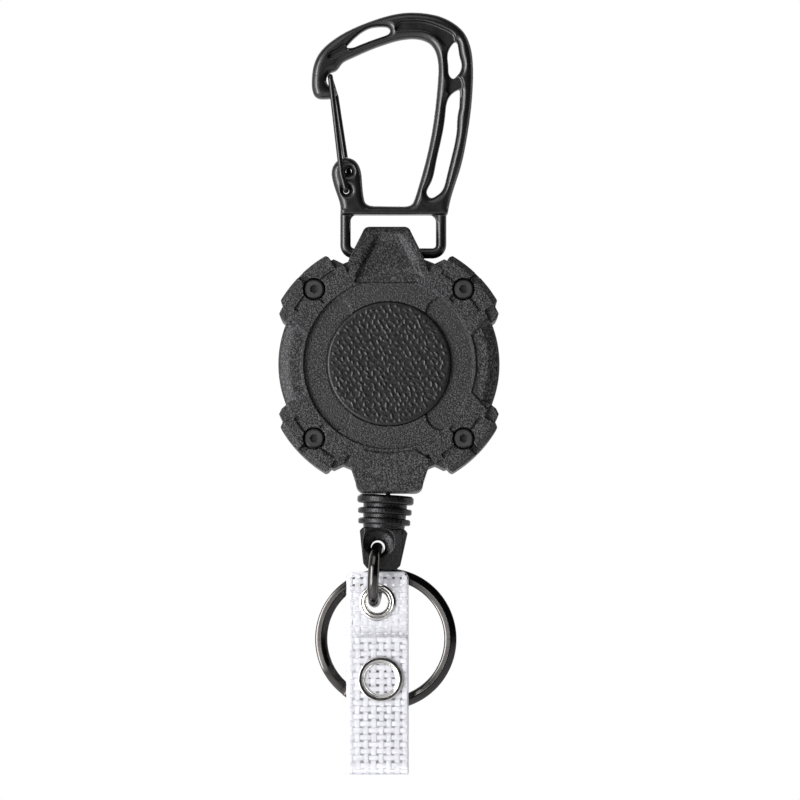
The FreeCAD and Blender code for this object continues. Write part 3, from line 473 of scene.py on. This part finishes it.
def carve_ear(co):
    """Give the ear its wide channel with sloping walls, which runs out towards the top."""
    foot, top, proud, lean = -44.9, -35.25, -7.2, 0.323
    wall, run_out, skin = 1.15, 2.4, 1.3
    x, y, z = (co[:, i] / MM for i in range(3))
    down = -38.0 - z
    outline = 5.0 + 0.47 * down
    # the face leans forward to where it meets the case, and rolls back at the top
    face = np.maximum(proud, -5.66 - lean * down)
    face = face + np.clip(z + 36.4, 0, None) ** 2 * 0.35
    # the channel is a mm deep and widens towards the foot
    wide = 2.6 + 0.49 * (-36.5 - z)
    target = face + ease((wide - np.abs(x)) / wall) * ease((-35.9 - z) / run_out)
    inside = (z > foot) & (z < top) & (np.abs(x) < outline) & (y < face + skin)
    share = ease((z - foot) / 0.8) * ease((outline - np.abs(x)) / 0.25)
    out = co.copy()
    out[:, 1] = np.where(inside, y + (target - y) * share, y) * MM
    return out


settle(soft_copy("front_shell", "case_front", voxel=0.12, smooth=2, ratio=0.34,
                 shape=carve_ear),
       "case_plastic", "case", ["front_shell"])
settle(soft_copy("rear_shell", "case_rear", voxel=0.15, smooth=3, ratio=0.35),
       "case_plastic", "case", ["rear_shell"])
REEL_Z = -60.97


def grip_marks():
    """Short marks on a staggered grid: place, direction, half length, height, bend of each."""
    draw = random.Random(11)
    pitch, row_gap, start, stop, field, shift = 1.22, 0.8, -11.6, 11.7, 10.95, 0.24
    marks = []
    row = 0
    z = start
    while z < stop:
        x = start + (row % 2) * pitch / 2
        while x < stop:
            if math.hypot(x, z) < field:
                lean = math.radians(draw.gauss(-58, 26))
                marks.append((x + draw.uniform(-shift, shift), z + draw.uniform(-shift, shift),
                              math.cos(lean), math.sin(lean), draw.uniform(0.08, 0.34),
                              draw.uniform(0.06, 0.15), draw.uniform(-0.7, 0.7)))
            x += pitch
        z += pitch * row_gap
        row += 1
    return np.array(marks)


def marked_disc():
    """The grip pad: a disc with a rounded rim and short raised marks on its face."""
    n, radius, front, foot, bevel, proud = 250, 11.62, -7.2, -6.25, 0.5, -7.45
    flat, turn = 0.945, 0.975
    mark_width, margin, fade_over, chunk = 0.17, 0.42, 0.35, 4000
    mark_x, mark_z, ux, uz, reach, tall, bend = grip_marks().T
    g = np.linspace(-1, 1, n)
    u, v = np.meshgrid(g, g, indexing="ij")
    s = np.maximum(np.abs(u), np.abs(v))
    angle = np.where(np.abs(u) > np.abs(v), (math.pi / 4) * v / np.where(u == 0, 1, u),
                     math.pi / 2 - (math.pi / 4) * u / np.where(v == 0, 1, v))
    signed = np.where(np.abs(u) > np.abs(v), u, v)
    cos, sin = np.cos(angle) * np.sign(signed), np.sin(angle) * np.sign(signed)
    r = np.where(s < flat, s / flat * (radius - bevel), 0.0)
    t = np.clip((s - flat) / (turn - flat), 0, 1) * math.pi / 2
    r = np.where(s >= flat, radius - bevel + bevel * np.sin(t), r)
    drop = np.where(s >= flat, bevel * (1 - np.cos(t)), 0.0)
    wall = np.clip((s - turn) / (1 - turn), 0, 1)
    y = front + drop + wall * (foot - front - bevel)
    x, z = r * cos, r * sin
    height = np.zeros(x.size)
    fx, fz = x.ravel(), z.ravel()
    for start in range(0, fx.size, chunk):
        part = slice(start, start + chunk)
        dx, dz = fx[part, None] - mark_x, fz[part, None] - mark_z
        along = dx * ux + dz * uz
        across = dz * ux - dx * uz + bend * along ** 2
        far = np.hypot(np.clip(np.abs(along) - reach, 0, None), across)
        height[part] = np.max(tall * np.exp(-(far / mark_width) ** 2), axis=1)
    fade = np.clip((radius - margin - r) / fade_over, 0, 1)
    y = np.maximum(y - height.reshape(x.shape) * fade, proud)
    verts = np.stack([x, y, z + REEL_Z], -1).reshape(-1, 3) * MM
    index = np.arange(n * n).reshape(n, n)
    faces = [(int(index[i, j]), int(index[i + 1, j]), int(index[i + 1, j + 1]),
              int(index[i, j + 1])) for i in range(n - 1) for j in range(n - 1)]
    edge = list(index[:, 0]) + list(index[-1, 1:]) + list(index[-2::-1, -1]) \
        + list(index[0, -2:0:-1])
    faces.append(tuple(int(i) for i in edge))
    return verts, faces


piece("grip_pad", *marked_disc(), "disc_plastic", "case", ["grip_disc"])


# ---- end fitting and cord ------------------------------------------------------------------
settle(soft_copy("end_bumper", "bumper_ribs", voxel=0.09, smooth=5, ratio=0.5),
       "fitting_plastic", "fitting", ["end_bumper"])
HOLE = (-1.92, -94.8)


def narrow_bore(co):
    """Draw the cross hole of the end block in around the ring that hangs in it."""
    near, fade_over, draw_in, shift = 1.9, 0.95, 0.25, (-0.14, 0.0, -0.36)
    bore = np.array([HOLE[0] * MM, 0.0, HOLE[1] * MM])
    arm = co - bore
    arm[:, 1] = 0.0
    reach = np.hypot(arm[:, 0], arm[:, 2]) / MM
    share = (1 - ease((reach - near) / fade_over))[:, None]
    return co + share * (np.array(shift) * MM - draw_in * arm)


settle(soft_copy("end_block", "block_body", voxel=0.09, smooth=6, ratio=0.6,
                 shape=narrow_bore),
       "fitting_plastic", "fitting", ["end_block"])


def sweep(path, section):
    """A bar along an open path; section is of (across, along Y) mm about each point."""
    verts = []
    last = len(path) - 1
    for i, p in enumerate(path):
        ahead = (path[min(i + 1, last)] - path[max(i - 1, 0)]).normalized()
        side = ahead.cross(Vector((0, 1, 0))).normalized()
        top = side.cross(ahead).normalized()
        verts += [(p + side * a + top * b) * MM for a, b in section]
    return verts, rings_to_faces(len(path), len(section), False)


def braid():
    """The short run of cord between the spout and the bumper, with its braid's ridges."""
    steps, sides, thick, ridge, twist = 60, 20, 0.46, 0.04, 0.9
    top, foot = Vector((0.0, 0.0, -83.2)), Vector((-0.72, 0.0, -90.6))
    path = [top.lerp(foot, i / steps) for i in range(steps + 1)]
    verts = []
    for i, p in enumerate(path):
        for j in range(sides):
            a = 2 * math.pi * j / sides
            bulge = thick + ridge * math.sin(4 * a + i * twist) * math.sin(4 * a - i * twist)
            verts.append((p + Vector((bulge * math.cos(a), bulge * math.sin(a), 0))) * MM)
    return verts, rings_to_faces(len(path), sides, False)


cord_line = piece("cord_line", *braid(), "cord_black", None, ["cord_tail"])
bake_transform(cord_line)


# ---- key ring ------------------------------------------------------------------------------
def key_ring():
    """Two turns of roof-shaped wire side by side, crossing where the ends overlap."""
    half, thick, step, big = 1.15, 0.525, 0.55, 12.15
    first, turned, cross_from, cross_over, heading = 15.0, 690.0, 345.0, 30.0, 217
    hang, lean = (-0.6, 2.5, -112.25 + big), math.radians(3.0)
    side = [(-half, -0.1), (-half, 0.1), (-half + 0.18, 0.3), (-0.32, 0.47), (-0.12, thick),
            (0.12, thick), (0.32, 0.47), (half - 0.18, 0.3), (half, 0.1), (half, -0.1),
            (half - 0.18, -0.3), (0.32, -0.47), (0.12, -thick), (-0.12, -thick),
            (-0.32, -0.47), (-half + 0.18, -0.3)]
    section = rounded(side, 2)
    path = []
    steps = 420
    for i in range(steps + 1):
        a = first + turned * i / steps
        slide = float(ease((a - cross_from) / cross_over))
        turn = math.radians(a + heading)
        path.append(Vector((big * math.cos(turn), step * (2 * slide - 1),
                            big * math.sin(turn))))
    verts, faces = sweep(path, section)
    place = (Matrix.Translation(Vector(hang) * MM)
             @ Matrix.Rotation(lean, 4, "X")
             @ Matrix.Translation(Vector((0, 0, -big)) * MM))
    return [place @ Vector(v) for v in verts], faces


piece("key_ring_wire", *key_ring(), "black_nickel", "key_ring", ["split_ring"])

# ---- eyelet and snap -----------------------------------------------------------------------
EYE = (-2.2, -105.4)
SNAP = (-1.6, -119.85)
eyelet_loop = rounded([(2.0, 0.6), (2.0, -0.45), (2.0, -0.62), (2.06, -0.72), (2.14, -0.7),
                       (2.19, -0.5), (2.22, -0.36), (2.28, -0.5), (2.34, -0.74),
                       (2.46, -0.84), (2.6, -0.82), (2.7, -0.68), (2.74, -0.52),
                       (2.84, -0.5), (2.98, -0.62), (3.2, -0.58), (3.42, -0.46),
                       (3.5, -0.34), (3.46, -0.26), (3.2, -0.25), (2.3, -0.25),
                       (2.22, -0.1), (2.22, 0.5), (2.5, 0.6), (2.84, 0.66), (2.7, 0.72),
                       (2.2, 0.72)], 1)
piece("eyelet_ring", *lathe(eyelet_loop, *EYE), "nickel", "link", ["strap_eyelet"])


def snap_loop(face, back, s):
    """Cap ring: a rounded band with a lip that turns in. s is the side it faces."""
    return rounded([(4.2, back), (4.2, back + s * 0.4), (4.17, face - s * 0.08),
                    (4.08, face - s * 0.01), (3.98, face), (3.52, face), (3.44, face - s * 0.03),
                    (3.32, face - s * 0.3), (3.26, back + s * 0.2), (3.14, back + s * 0.14),
                    (3.02, back + s * 0.2), (2.9, back + s * 0.1), (2.9, back),
                    (3.3, back)], 1)


piece("snap_cap_front", *lathe(snap_loop(-3.6, -2.87, -1), *SNAP), "nickel", "flap",
      ["snap_ring_front"])
piece("snap_cap_back", *lathe(snap_loop(1.0, 0.27, 1), *SNAP), "nickel", "strap",
      ["snap_ring_back"])


# ---- woven strap ---------------------------------------------------------------------------
FOLD = 1.3              # radius of the fold's middle line
LENGTH_BACK, FOLD_ARC, LENGTH_FLAP = 36.6, math.pi * FOLD, 24.75
HALF, MIDDLE, TOP = 5.85, -2.15, -99.55
TOTAL = LENGTH_BACK + FOLD_ARC + LENGTH_FLAP
WARPS = 8
PITCH_X, PITCH_S = 11.7 / WARPS, 1.3
EDGE, CORNER = 0.16, 1.5
EYE_BORE, SNAP_BORE = 2.25, 1.75


def on_strap(u, s, h):
    """Point of the strap, in mm: u across, s down the back panel, round the fold and up."""
    if s <= LENGTH_BACK:
        y, z = h, TOP - s
    elif s <= LENGTH_BACK + FOLD_ARC:
        a = (s - LENGTH_BACK) / FOLD
        y = -FOLD + (FOLD + h) * math.cos(a)
        z = TOP - LENGTH_BACK - (FOLD + h) * math.sin(a)
    else:
        y, z = -2 * FOLD - h, TOP - LENGTH_BACK + (s - LENGTH_BACK - FOLD_ARC)
    return Vector((MIDDLE + u, y, z)) * MM


def half_width(s):
    """Half of the strap's width, less at its rounded ends."""
    d = min(s, TOTAL - s)
    if d >= CORNER:
        return HALF
    return HALF - (CORNER - math.sqrt(max(CORNER * CORNER - (CORNER - d) ** 2, 0.0)))


def in_hole(u, s, grow):
    """Whether a point of the back panel lies in a bore that goes through the strap."""
    x, z = MIDDLE + u, TOP - s
    if s > LENGTH_BACK:
        return False
    return (math.hypot(x - EYE[0], z - EYE[1]) < EYE_BORE + grow
            or math.hypot(x - SNAP[0], z - SNAP[1]) < SNAP_BORE + grow)


def ribbon(line, wide, thick, across):
    """One flat yarn along a line of (u, s, h); its section is a flat lens."""
    sides = 10
    section = [(math.cos(2 * math.pi * k / sides), math.sin(2 * math.pi * k / sides))
               for k in range(sides)]
    verts = []
    for u, s, h in line:
        for a, b in section:
            if across:
                verts.append(on_strap(u, s + a * wide / 2, h + b * thick / 2))
            else:
                verts.append(on_strap(u + a * wide / 2, s, h + b * thick / 2))
    return verts, rings_to_faces(len(line), sides, False)


def runs_of(line):
    """A line cut where it meets a bore; scraps of a few points are left out."""
    room, scrap = 0.25, 3
    run = []
    for p in line:
        if in_hole(p[0], p[1], room):
            if len(run) > scrap:
                yield run
            run = []
        else:
            run.append(p)
    if len(run) > scrap:
        yield run


def weave(s0, s1, seed):
    """Yarns between two places along the strap, over and under each other."""
    draw = random.Random(seed)
    verts, faces = [], []
    lift, sway, warp_thick, weft_thick, count = 0.075, 0.07, 0.13, 0.12, 46

    def add(line, wide, thick, across):
        """Add the yarns of a line to the mesh."""
        for run in runs_of(line):
            v, f = ribbon(run, wide, thick, across)
            base = len(verts)
            verts.extend(v)
            faces.extend(tuple(base + i for i in face) for face in f)

    for k in range(WARPS):
        u0 = (k + 0.5) * PITCH_X - HALF + draw.uniform(-sway, sway)
        wide = draw.uniform(0.94, 1.06)
        swing, phase = draw.uniform(0.02, 0.07), draw.uniform(0, 6.28)
        line = []
        s = s0
        while s <= s1 + 1e-6:
            if abs(u0) + wide / 2 < half_width(s) - 0.04 and 0.3 < s < TOTAL - 0.3:
                h = lift * math.cos(math.pi * (s / PITCH_S - 0.5 + k))
                line.append((u0 + swing * math.sin(s * 0.31 + phase), s, h))
            s += PITCH_S / 5
        add(line, wide, warp_thick, False)
    j = int(s0 / PITCH_S)
    while (j + 0.5) * PITCH_S < s1:
        s = (j + 0.5) * PITCH_S + draw.uniform(-sway, sway)
        wide = draw.uniform(0.9, 1.03)
        if s - wide / 2 > s0 + 0.02 and s + wide / 2 < s1 - 0.02 and 0.6 < s < TOTAL - 0.6:
            reach = half_width(s - 0.3 if s < 20 else s + 0.3) - EDGE
            bow = draw.uniform(-0.05, 0.05)
            line = []
            for i in range(count + 1):
                u = -reach + 2 * reach * i / count
                h = -lift * math.cos(math.pi * ((u + HALF) / PITCH_X - 0.5 + j))
                line.append((u, s + bow * math.cos(u * 0.5), h))
            add(line, wide, weft_thick, True)
        j += 1
    return verts, faces


def film(s0, s1, cap_start, cap_end):
    """Clear skin on both sides of the weave, closed at its edges and round the bores."""
    across, row, past_corner, skin, dent = 44, 0.3, 1.6, 0.235, 0.012
    rim_from, rim_wide, rim_drop, room = 0.955, 0.045, 0.85, 0.12
    rows = int(round((s1 - s0) / row))
    stops = [s0 + (s1 - s0) * i / rows for i in range(rows + 1)]
    close = [CORNER * (1 - math.cos(math.pi * i / 20)) for i in range(11)]
    if cap_start:
        stops = sorted({s0 + d for d in close} | {s for s in stops if s > s0 + past_corner})
    if cap_end:
        stops = sorted({s1 - d for d in close} | {s for s in stops if s < s1 - past_corner})
    verts, keep = [], {}
    for side in (1, -1):
        for i, s in enumerate(stops):
            for j in range(across + 1):
                t = 2 * j / across - 1
                u = math.sin(t * math.pi / 2) * 0.25 + t * 0.75
                w = half_width(min(max(s, 0.02), TOTAL - 0.02))
                ripple = dent * math.cos(2 * math.pi * (u * HALF + HALF) / PITCH_X) \
                    * math.cos(2 * math.pi * s / PITCH_S)
                rim = max(0.0, (abs(u) - rim_from) / rim_wide)
                h = skin * math.sqrt(max(1 - rim * rim * rim_drop, 0.0)) + ripple * (1 - rim)
                verts.append(on_strap(u * w, s, side * h))
    wide = across + 1
    half = wide * len(stops)
    for i in range(len(stops) - 1):
        for j in range(across):
            s = (stops[i] + stops[i + 1]) / 2
            u = ((j + 0.5) * 2 / across - 1) * half_width(s)
            keep[i, j] = not in_hole(u, s, room)
    faces = []
    for (i, j), kept in keep.items():
        if not kept:
            continue
        a, b, c, d = i * wide + j, i * wide + j + 1, (i + 1) * wide + j + 1, (i + 1) * wide + j
        faces.append((a, b, c, d))
        faces.append((a + half, d + half, c + half, b + half))
        for (p, q), near in (((a, b), (i - 1, j)), ((b, c), (i, j + 1)),
                             ((c, d), (i + 1, j)), ((d, a), (i, j - 1))):
            if not keep.get(near, False):
                faces.append((p, p + half, q + half, q))
    used = sorted({v for f in faces for v in f})
    new = {v: i for i, v in enumerate(used)}
    return [verts[v] for v in used], [tuple(new[v] for v in f) for f in faces]


yarn_back = piece("strap_yarns_back", *weave(0.0, LENGTH_BACK, 21), "mesh_vinyl", None,
                  (), YARN)
yarn_front = piece("strap_yarns_front", *weave(LENGTH_BACK, TOTAL, 22), "mesh_vinyl", None,
                   (), YARN)
film_back = piece("strap_film_back", *film(0.0, LENGTH_BACK, True, False), "mesh_vinyl", None,
                  ["strap_tab", "strap_bend", "strap_panel"], FILM)
film_front = piece("strap_film_front", *film(LENGTH_BACK, TOTAL, False, True), "mesh_vinyl",
                   None, ["strap_fold", "strap_flap"], FILM)
for o in (yarn_back, film_back):
    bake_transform(o)
for o in (yarn_front, film_front):
    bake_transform(o)


# ---- spring inside the spool ---------------------------------------------------------------
def spring_strip():
    """A flat steel strip wound in a spiral about the spool's axis."""
    turns, steps, inner, outer, depth = 8, 360, 3.7, 11.2, 0.55
    thin, wide = 0.12, 2.15
    path = []
    for i in range(steps + 1):
        a = 2 * math.pi * turns * i / steps
        r = inner + (outer - inner) * i / steps
        path.append(Vector((r * math.cos(a), depth, REEL_Z + r * math.sin(a))))
    return sweep(path, [(-thin, -wide), (thin, -wide), (thin, wide), (-thin, wide)])


piece("spring_coil", *spring_strip(), "steel", "spool", ["power_spring"])

# ---- camera, lights, floor -----------------------------------------------------------------
FRAME_W = 0.1504        # width of the view at the object, in metres
CENTRE = Vector((0.00207, 0.0, -0.0674))
TILT = math.radians(-3.0)
cam_data = bpy.data.cameras.new("camera")
cam_data.lens = 250.0
cam_data.sensor_width = 36.0
cam_data.clip_start = 0.01
cam_data.clip_end = 50.0
camera = bpy.data.objects.new("camera", cam_data)
scene.collection.objects.link(camera)
back = Vector((0.0, -math.cos(TILT), math.sin(TILT)))
camera.location = CENTRE + back * (FRAME_W / 2 / (cam_data.sensor_width / 2 / cam_data.lens))
camera.rotation_mode = "QUATERNION"
camera.rotation_quaternion = (-back).to_track_quat("-Z", "Y")
scene.camera = camera
scene.view_settings.view_transform = "Standard"

world = bpy.data.worlds.new("studio")
scene.world = world
world.use_nodes = True
wt = world.node_tree
wt.nodes.clear()


def world_node(kind, **values):
    """Add a node to the world."""
    n = wt.nodes.new("ShaderNode" + kind)
    for key, value in values.items():
        setattr(n, key, value)
    return n


def world_band(value, a, b, low, high):
    """A smooth step from low, at a, to high, at b."""
    n = world_node("MapRange", interpolation_type="SMOOTHSTEP")
    wt.links.new(value, n.inputs[0])
    for i, v in zip((1, 2, 3, 4), (a, b, low, high)):
        n.inputs[i].default_value = v
    return n.outputs[0]


# Lit softly from behind and from the left, but plain white where the camera sees it.
w_out = world_node("OutputWorld")
w_mix = world_node("MixShader")
w_path = world_node("LightPath")
w_dim = world_node("Background")
w_dim.inputs[0].default_value = (0.96, 0.97, 1.0, 1.0)
w_side = world_node("SeparateXYZ")
wt.links.new(world_node("TexCoord").outputs["Generated"], w_side.inputs[0])
w_sum = world_node("Math", operation="ADD")
wt.links.new(world_band(w_side.outputs[1], -0.15, 0.5, 0.03, 0.75), w_sum.inputs[0])
wt.links.new(world_band(w_side.outputs[0], 0.1, -0.7, 0.0, 0.25), w_sum.inputs[1])
wt.links.new(w_sum.outputs[0], w_dim.inputs[1])
w_white = world_node("Background")
w_white.inputs[0].default_value = (1.0, 1.0, 1.0, 1.0)
w_white.inputs[1].default_value = 1.0
wt.links.new(w_path.outputs["Is Camera Ray"], w_mix.inputs[0])
wt.links.new(w_dim.outputs[0], w_mix.inputs[1])
wt.links.new(w_white.outputs[0], w_mix.inputs[2])
wt.links.new(w_mix.outputs[0], w_out.inputs[0])


def softbox(name, offset, wide, tall, watts):
    """An area light at that offset from the object's middle, turned towards it."""
    place = CENTRE + Vector(offset)
    data = bpy.data.lights.new(name, "AREA")
    data.shape = "RECTANGLE"
    data.size = wide
    data.size_y = tall
    data.energy = watts
    o = bpy.data.objects.new(name, data)
    o.location = place
    o.rotation_mode = "QUATERNION"
    o.rotation_quaternion = (CENTRE - place).to_track_quat("-Z", "Y")
    scene.collection.objects.link(o)


softbox("key", (-0.80, -0.57, -0.14), 1.3, 1.3, 12.6)
softbox("core", (-0.70, -0.70, -0.06), 0.3, 1.1, 18.6)
softbox("ridge", (-0.26, -1.0, -0.05), 0.06, 1.0, 2.0)
softbox("top", (-0.2, -0.65, 0.85), 0.9, 0.6, 3.6)
softbox("rim", (0.95, 0.25, 0.0), 0.12, 1.4, 2.2)
softbox("back_light", (-0.3, 0.95, 0.5), 0.9, 0.8, 4.0)

FLOOR, FLOOR_Z = 6, -0.95
floor_mesh = bpy.data.meshes.new("floor")
floor_mesh.from_pydata([(x, y, FLOOR_Z) for x, y in ((-FLOOR, -FLOOR), (FLOOR, -FLOOR),
                                                     (FLOOR, FLOOR), (-FLOOR, FLOOR))], [],
                       [(0, 1, 2, 3)])
floor = bpy.data.objects.new("floor", floor_mesh)
scene.collection.objects.link(floor)
pale = Look("floor_pale")
pale.colour(pale.ramp(pale.noise(6.0), [(0.3, 0.82), (0.7, 0.86)])).put(
    Roughness=0.8, Emission_Color=(0.97, 0.97, 1.0, 1.0), Emission_Strength=0.42)
floor_mesh.materials.append(pale.m)

bpy.context.view_layer.update()
